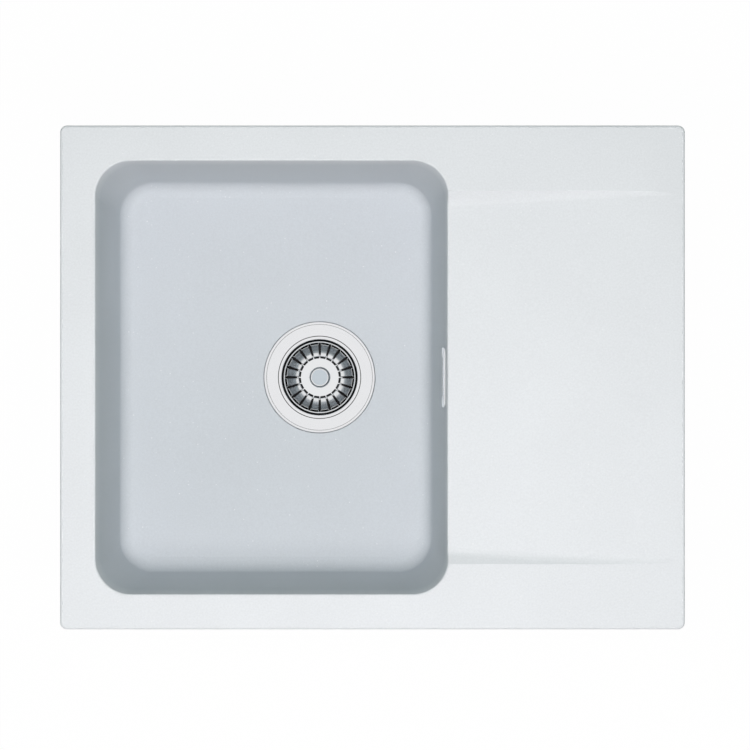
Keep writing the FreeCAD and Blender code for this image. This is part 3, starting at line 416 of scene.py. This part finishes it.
def merge(mesh, other):
    """Add another bmesh to one, and free it."""
    data = bpy.data.meshes.new("joined")
    other.to_mesh(data)
    other.free()
    mesh.from_mesh(data)
    bpy.data.meshes.remove(data)


def soften(mesh, width, limit=35.0):
    """Merge flat regions into single faces and bevel the sharp edges between them."""
    bmesh.ops.dissolve_limit(mesh, angle_limit=math.radians(0.5), verts=mesh.verts, edges=mesh.edges)
    sharp = [edge for edge in mesh.edges
             if len(edge.link_faces) == 2 and edge.calc_face_angle() > math.radians(limit)]
    bmesh.ops.bevel(mesh, geom=sharp, offset=width, offset_type="OFFSET", segments=2, profile=0.5,
                    affect="EDGES", material=-1, clamp_overlap=True)


def thread(core_r, crest_r, pitch, low, high, segments):
    """A V-shaped ridge with a flat crest that winds up a cylinder."""
    mesh = bmesh.new()
    flat = pitch / 10
    profile = [(core_r - flat, 0), (crest_r, pitch / 2 - flat), (crest_r, pitch / 2 + flat),
               (core_r - flat, pitch)]
    points = [mesh.verts.new((r, 0, low + z)) for r, z in profile]
    edges = [mesh.edges.new(pair) for pair in zip(points, points[1:])]
    turns = (high - low) / pitch - 1
    steps = int(segments * turns)
    bmesh.ops.spin(mesh, geom=points + edges, cent=(0, 0, 0), axis=(0, 0, 1), angle=FULL_TURN * turns,
                   steps=steps, dvec=(0, 0, pitch * turns / steps), use_merge=False)
    bmesh.ops.recalc_face_normals(mesh, faces=mesh.faces)
    return mesh


def make_piece(name, mesh, body, finish, replaced, smooth):
    """Turn a finished bmesh into a piece that rides on a body and stands for CAD nodes.

    Edges sharper than smooth, in degrees, stay crisp. A CAD mesh brings normals of its own,
    which would undo that, so they go.
    """
    data = bpy.data.meshes.new(name)
    mesh.to_mesh(data)
    mesh.free()
    if "custom_normal" in data.attributes:
        data.attributes.remove(data.attributes["custom_normal"])
    data.shade_smooth()
    data.set_sharp_from_angle(angle=math.radians(smooth))
    piece = bpy.data.objects.new(name, data)
    bpy.context.scene.collection.objects.link(piece)
    paint(piece, finish)
    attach(piece, body)
    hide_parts(*replaced)
    return piece


# ---- strainer basket ----------------------------------------------------------------------------

BRIDGES = 20
BASKET_SHEET = 0.6 * MM
BASKET_CURVE = 16.2 * MM        # radius of the wall's curve
BASKET_DISC = 20.0 * MM
BASKET_HOLE = 3.0 * MM          # where the stem goes through the disc
BRIDGE_RAISE = 2.0 * MM
SHOULDER_RAISE = 0.85           # a bridge's shoulder against its top
OUTER_SLOT = (2.0, 9.0)         # degrees down the wall's curve
VALLEY_SLOT = (14.0, 76.0)      # the slot between one bridge and the next
INNER_SLOT = (83.5, 90.0)
CURVE_STEPS = 12
# how the columns of half a strut and half a bridge spread, in degrees from the strut's middle
COLUMNS = (0.0, 1.5, 2.3, 2.5, 3.0, 5.0, 7.0, 9.0)
STRUT_COLUMN = 1                # the struts at the bridges' ends reach this column,
SIDE_COLUMN = 2                 # and a bridge's side starts from this one


def strainer():
    """The pressed basket: rolled rim, 20 raised bridges with slots all round, and a flat disc."""
    rim_r = (BASKET_HIGH.x - BASKET_LOW.x) / 2
    disc_z = middle("basket_knob").z - (KNOB_HIGH.z - KNOB_LOW.z) / 2 - BASKET_SHEET / 2
    centre = (BASKET_DISC, disc_z + BASKET_CURVE)
    wall_r = BASKET_DISC + BASKET_CURVE
    roll = (rim_r - BASKET_SHEET / 2 - wall_r) / 2
    roll_centre = (wall_r + roll, BASKET_HIGH.z - BASKET_SHEET / 2 - roll)
    profile = arc(roll_centre, roll, -60, 180, 10)
    collar = 1.2 * MM
    profile += [(wall_r, roll_centre[1] - collar), (wall_r, centre[1])]
    angles = [*OUTER_SLOT]
    angles += [VALLEY_SLOT[0] + (VALLEY_SLOT[1] - VALLEY_SLOT[0]) * step / CURVE_STEPS
               for step in range(CURVE_STEPS + 1)]
    angles += [(VALLEY_SLOT[1] + INNER_SLOT[0]) / 2, *INNER_SLOT]
    profile += [(centre[0] + BASKET_CURVE * math.cos(math.radians(angle)),
                 centre[1] - BASKET_CURVE * math.sin(math.radians(angle))) for angle in angles]
    profile += [(BASKET_DISC - BASKET_SHEET, disc_z), (0.6 * BASKET_DISC, disc_z), (BASKET_HOLE, disc_z)]
    columns = 2 * (len(COLUMNS) - 1)
    mesh = spin_profile(profile, BRIDGES * columns, closed=False)
    sector = 360.0 / BRIDGES
    column = sector / columns

    def down_curve(point):
        """Degrees down the wall's curve."""
        return math.degrees(math.atan2(centre[1] - point.z, math.hypot(point.x, point.y) - centre[0]))

    def columns_off(point):
        """How many columns a point lies round from the nearest strut's middle, signed."""
        angle = math.degrees(math.atan2(point.y, point.x)) % sector
        return (angle if angle < sector / 2 + 0.01 else angle - sector) / column

    slots = []
    for face in mesh.faces:
        where = face.calc_center_median()
        down = down_curve(where)
        if not BASKET_DISC < math.hypot(where.x, where.y) < wall_r:
            continue
        at_end = OUTER_SLOT[0] < down < OUTER_SLOT[1] or INNER_SLOT[0] < down < INNER_SLOT[1]
        in_valley = VALLEY_SLOT[0] < down < VALLEY_SLOT[1]
        off = abs(columns_off(where))
        if at_end and off > STRUT_COLUMN or in_valley and off < SIDE_COLUMN:
            slots.append(face)
    bmesh.ops.delete(mesh, geom=slots, context="FACES")

    for vert in mesh.verts:
        radius = math.hypot(vert.co.x, vert.co.y)
        down = down_curve(vert.co)
        off = columns_off(vert.co)
        number = round(abs(off))
        turn = (COLUMNS[number] - number * column) * math.copysign(1.0, off)
        on_curve = OUTER_SLOT[1] - 0.5 < down < INNER_SLOT[0] + 0.5 and radius > BASKET_DISC
        if on_curve and number > SIDE_COLUMN:
            share = SHOULDER_RAISE if number == SIDE_COLUMN + 1 else 1.0
            inward = Vector(((centre[0] - radius) * vert.co.x / radius,
                             (centre[0] - radius) * vert.co.y / radius, centre[1] - vert.co.z))
            vert.co += inward.normalized() * BRIDGE_RAISE * share
        vert.co = Matrix.Rotation(math.radians(turn), 3, "Z") @ vert.co
    bmesh.ops.translate(mesh, verts=mesh.verts, vec=DRAIN)
    piece = make_piece("strainer_basket", mesh, "strainer", DRAWN, ["basket"], 40.0)
    sheet = piece.modifiers.new("sheet", "SOLIDIFY")
    sheet.thickness = BASKET_SHEET
    sheet.offset = 0.0


def pull_knob():
    """The turned knob on the disc, its face very slightly dished."""
    r = (KNOB_HIGH.x - KNOB_LOW.x) / 2
    top = KNOB_HIGH.z
    foot = KNOB_LOW.z
    neck = 5.5 * MM
    drawn_in = 0.9 * MM
    waist = top - 3.7 * MM - foot
    waist_steps = 8
    edge = 0.25 * MM
    profile = [(0, foot), (neck, foot)]
    profile += [(neck - drawn_in * math.sin(math.pi * step / waist_steps), foot + waist * step / waist_steps)
                for step in range(1, waist_steps)]
    profile += [(neck, foot + waist), (r - 1.2 * MM, top - 3.2 * MM)]
    profile += arc((r - 0.8 * MM, top - 2.2 * MM), 0.8 * MM, -60, 0, 4)
    profile += arc((r - edge, top - 0.12 * MM - edge), edge, 0, 80, 5)
    profile += [(KNOB_FACE + 0.1 * MM, top), (KNOB_FACE, top - 0.08 * MM), (0, top - 0.2 * MM)]
    mesh = spin_profile(profile, 96, closed=False)
    bmesh.ops.translate(mesh, verts=mesh.verts, vec=DRAIN)
    make_piece("pull_knob", mesh, "strainer", SATIN, ["basket_knob"], 30.0)


# ---- waste ---------------------------------------------------------------------------------------

LIP_CUT = -197.6 * MM           # below this the cup keeps the CAD shape
OUTLET_CUT = -268.0 * MM        # above this the waste body does
OUTLET_PITCH = 2.309 * MM


def flange():
    """The pressed flange: a raised outer band, a gentle cone, a crease and a flat lip into the throat."""
    r = (FLANGE_HIGH.x - FLANGE_LOW.x) / 2
    top = FLANGE_HIGH.z
    throat = 39.3 * MM
    sheet = 1.2 * MM
    crease = 42.65 * MM
    crease_low = top - 2.2 * MM
    lip = top - 1.75 * MM
    skirt = top - 3.0 * MM
    edge = 0.7 * MM
    turn = 0.7 * MM
    profile = [(r, skirt)]
    profile += arc((r - edge, top - edge), edge, 0, 90, 8)
    profile += [(r - 2.4 * MM, top), (r - 2.7 * MM, top - 0.12 * MM), (r - 3.0 * MM, top - 0.62 * MM),
                (r - 3.3 * MM, top - 0.72 * MM), (crease + 0.4 * MM, top - 1.43 * MM),
                (crease + 0.1 * MM, crease_low), (crease - 0.1 * MM, crease_low),
                (crease - 0.3 * MM, lip)]
    profile += arc((throat + turn, lip - turn), turn, 90, 180, 6)
    profile += [(throat, LIP_CUT), (throat + sheet, LIP_CUT), (throat + sheet, lip - 2.4 * MM)]
    profile += [(crease, lip - 0.2 * MM - sheet), (r - 3.2 * MM, top - 0.7 * MM - sheet),
                (r - sheet, top - sheet), (r - sheet, skirt)]
    mesh = spin_profile(profile, 192)
    bmesh.ops.translate(mesh, verts=mesh.verts, vec=DRAIN)
    cup = cad_mesh("waste_flange")
    bmesh.ops.bisect_plane(cup, geom=cup.verts[:] + cup.edges[:] + cup.faces[:], plane_co=(0, 0, LIP_CUT),
                           plane_no=(0, 0, 1), clear_outer=True)
    merge(mesh, cup)
    make_piece("flange", mesh, "sink", CUP_STEEL, ["waste_flange"], 28.0)


def outlet():
    """The waste body with a real thread on its outlet."""
    mesh = cad_mesh("waste_body")
    bmesh.ops.bisect_plane(mesh, geom=mesh.verts[:] + mesh.edges[:] + mesh.faces[:],
                           plane_co=(0, 0, OUTLET_CUT), plane_no=(0, 0, -1), clear_outer=True)
    bore = 20 * MM
    core = 22.45 * MM
    crest = 23.9 * MM
    low = BODY_LOW.z
    top = OUTLET_CUT + 0.3 * MM
    chamfer = 0.8 * MM
    eased = 0.4 * MM
    profile = [(bore, top), (core, top), (core, low + chamfer), (core - chamfer, low),
               (bore + eased, low), (bore, low + eased)]
    tube = spin_profile(profile, 128)
    merge(tube, thread(core, crest, OUTLET_PITCH, low + chamfer, OUTLET_CUT - 1.5 * MM, 96))
    bmesh.ops.translate(tube, verts=tube.verts, vec=DRAIN)
    merge(mesh, tube)
    make_piece("waste_cup", mesh, "sink", FINISHES["white_plastic"], ["waste_body"], 30.0)


# ---- clips ---------------------------------------------------------------------------------------

STUD_PITCH = 1.0 * MM
STUD_THREAD_TOP = -13.0 * MM


def studs():
    """Eight threaded studs."""
    core = 2.45 * MM
    crest = 2.95 * MM
    chamfer = 0.5 * MM
    sides = 24
    low = STUDS_LOW.z
    high = STUDS_HIGH.z
    profile = [(0, low), (core - chamfer, low), (core, low + chamfer), (core, high), (0, high)]
    mesh = bmesh.new()
    for number in CLIPS:
        place = middle("clip_nut_%d" % number)
        stud = spin_profile(profile, sides, closed=False)
        merge(stud, thread(core, crest, STUD_PITCH, low + 0.4 * MM, STUD_THREAD_TOP, sides))
        bmesh.ops.translate(stud, verts=stud.verts, vec=(place.x, place.y, 0))
        merge(mesh, stud)
    make_piece("studs", mesh, "sink", FINISHES["zinc_steel"], ["clip_studs"], 40.0)


def wing_nut(number):
    """A cast wing nut with a conical hub and two rounded ears."""
    node = "clip_nut_%d" % number
    low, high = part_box(node)
    place = middle(node)
    along_y = high.y - low.y > high.x - low.x
    reach = max(high.x - low.x, high.y - low.y) / 2
    top = high.z
    foot = low.z
    hub_low = foot + 3 * MM
    bore = 3.05 * MM
    profile = [(bore + 0.5 * MM, hub_low), (4.6 * MM, hub_low), (5.0 * MM, hub_low + 0.4 * MM),
               (5.9 * MM, top - 0.6 * MM), (5.4 * MM, top), (bore + 0.4 * MM, top), (bore, top - 0.4 * MM),
               (bore, hub_low + 0.5 * MM)]
    mesh = spin_profile(profile, 48)
    ear_r = 3.4 * MM
    ear_sheet = 2.2 * MM
    ear = (reach - ear_r, foot + ear_r)
    outline = [(4.2 * MM, top - 1.2 * MM), (6.6 * MM, top - 2.0 * MM)]
    outline += arc(ear, ear_r, 50, -150, 14)
    outline += [(5.2 * MM, hub_low + 1.4 * MM), (4.2 * MM, hub_low + 0.8 * MM)]
    for side in (0, math.pi):
        wing = bmesh.new()
        face = wing.faces.new([wing.verts.new((x, -ear_sheet / 2, z)) for x, z in outline])
        grown = bmesh.ops.extrude_face_region(wing, geom=[face])["geom"]
        corners = [item for item in grown if isinstance(item, bmesh.types.BMVert)]
        bmesh.ops.translate(wing, vec=(0, ear_sheet, 0), verts=corners)
        bmesh.ops.recalc_face_normals(wing, faces=wing.faces)
        soften(wing, 0.7 * MM, 60.0)
        bmesh.ops.rotate(wing, verts=wing.verts, cent=(0, 0, 0), matrix=Matrix.Rotation(side, 3, "Z"))
        merge(mesh, wing)
    bmesh.ops.rotate(mesh, verts=mesh.verts, cent=(0, 0, 0),
                     matrix=Matrix.Rotation(math.pi / 2 if along_y else 0, 3, "Z"))
    bmesh.ops.translate(mesh, verts=mesh.verts, vec=(place.x, place.y, 0))
    make_piece("wing_nut_%d" % number, mesh, "nut_%d" % number, FINISHES["zinc_steel"],
               [node], 50.0)


def softened(node, body, slot, width):
    """A CAD node with its sharp edges eased."""
    mesh = cad_mesh(node)
    soften(mesh, width)
    make_piece(node + "_eased", mesh, body, FINISHES[slot], [node], 30.0)


strainer()
pull_knob()
flange()
outlet()
studs()
for clip in CLIPS:
    wing_nut(clip)
    softened("clip_claw_%d" % clip, "claw_%d" % clip, "zinc_steel", 0.35 * MM)
for eased in ("overflow_upper_nut", "overflow_lower_nut"):
    softened(eased, "sink", "grey_plastic", 0.4 * MM)
softened("overflow_body", "sink", "white_plastic", 0.5 * MM)


# ---- camera, light and floor ----------------------------------------------------------------------

FRAME_WIDTH = 0.744             # what 750 pixels span in the deck's plane
CAMERA_HEIGHT = 4.44            # above the deck
CAMERA_OFFSET = (0.0025, 0.0024)
SENSOR = 36.0
FLOOR = cad_bounds[0].z - 2 * MM
FLOOR_REACH = 6.0
FLOOR_GLOW = 0.985              # how far the floor is plain white to the camera
ROOM_COLOR = (0.66, 1.0, 0.88, 1.0)
ROOM_STRENGTH = 0.152


def camera():
    """The photograph's view: straight down from far above, the sink a little off the centre."""
    data = bpy.data.cameras.new("camera")
    data.sensor_fit = "HORIZONTAL"
    data.sensor_width = SENSOR
    data.lens = SENSOR * CAMERA_HEIGHT / FRAME_WIDTH
    data.clip_end = 50.0
    item = bpy.data.objects.new("camera", data)
    bpy.context.scene.collection.objects.link(item)
    item.location = (*CAMERA_OFFSET, DECK_HIGH.z + CAMERA_HEIGHT)
    bpy.context.scene.camera = item


def softbox(name, place, size, power, color):
    """A square area light that faces the sink, and doesn't show in shiny surfaces."""
    data = bpy.data.lights.new(name, "AREA")
    data.shape = "SQUARE"
    data.size = size
    data.energy = power
    data.color = color
    item = bpy.data.objects.new(name, data)
    bpy.context.scene.collection.objects.link(item)
    item.location = place
    item.rotation_euler = (Vector((0, 0, 0)) - Vector(place)).to_track_quat("-Z", "Y").to_euler()
    item.visible_glossy = False


def surroundings():
    """An even pale room, seen as white by the camera and in shiny surfaces."""
    world = bpy.data.worlds.new("room")
    bpy.context.scene.world = world
    world.use_nodes = True
    tree = world.node_tree
    tree.nodes.clear()
    out = tree.nodes.new("ShaderNodeOutputWorld")
    mix = tree.nodes.new("ShaderNodeMixShader")
    path = tree.nodes.new("ShaderNodeLightPath")
    lit = tree.nodes.new("ShaderNodeBackground")
    seen = tree.nodes.new("ShaderNodeBackground")
    lit.inputs["Color"].default_value = ROOM_COLOR
    lit.inputs["Strength"].default_value = ROOM_STRENGTH
    seen.inputs["Color"].default_value = WHITE
    seen.inputs["Strength"].default_value = 1.0
    white = tree.nodes.new("ShaderNodeMath")
    white.operation = "MAXIMUM"
    tree.links.new(path.outputs["Is Camera Ray"], white.inputs[0])
    tree.links.new(path.outputs["Is Glossy Ray"], white.inputs[1])
    tree.links.new(white.outputs[0], mix.inputs[0])
    tree.links.new(lit.outputs[0], mix.inputs[1])
    tree.links.new(seen.outputs[0], mix.inputs[2])
    tree.links.new(mix.outputs[0], out.inputs["Surface"])


def studio_floor():
    """A plain pale floor under everything, near white to the camera but still taking a soft shadow."""
    mesh = bmesh.new()
    bmesh.ops.create_grid(mesh, x_segments=1, y_segments=1, size=FLOOR_REACH)
    bmesh.ops.translate(mesh, verts=mesh.verts, vec=(0, 0, FLOOR))
    data = bpy.data.meshes.new("floor")
    mesh.to_mesh(data)
    mesh.free()
    item = bpy.data.objects.new("floor", data)
    bpy.context.scene.collection.objects.link(item)
    finish = Finish("floor_paper", (0.86, 0.86, 0.86), 0.9)
    path = finish.add("ShaderNodeLightPath")
    glow = finish.add("ShaderNodeEmission")
    finish.set(glow, "Color", WHITE)
    finish.set(glow, "Strength", 1.0)
    mix = finish.add("ShaderNodeMixShader")
    seen = finish.math("MULTIPLY", path.outputs["Is Camera Ray"], FLOOR_GLOW)
    finish.set(mix, 0, seen)
    finish.tree.links.new(finish.shader.outputs[0], mix.inputs[1])
    finish.tree.links.new(glow.outputs[0], mix.inputs[2])
    finish.tree.links.new(mix.outputs[0], finish.tree.nodes["Material Output"].inputs["Surface"])
    paint(item, finish.material)


camera()
surroundings()
studio_floor()
softbox("zenith", (0.0, 0.0, 7.0), 0.8, 138.0, (1.0, 0.973, 1.0))
softbox("front", (-0.05, -0.29, 1.6), 0.6, 20.0, (1.0, 0.926, 0.92))
softbox("low", (-0.1, -1.8, 0.9), 1.2, 3.3, (1.0, 0.67, 0.79))
bpy.context.scene.view_settings.view_transform = "Standard"
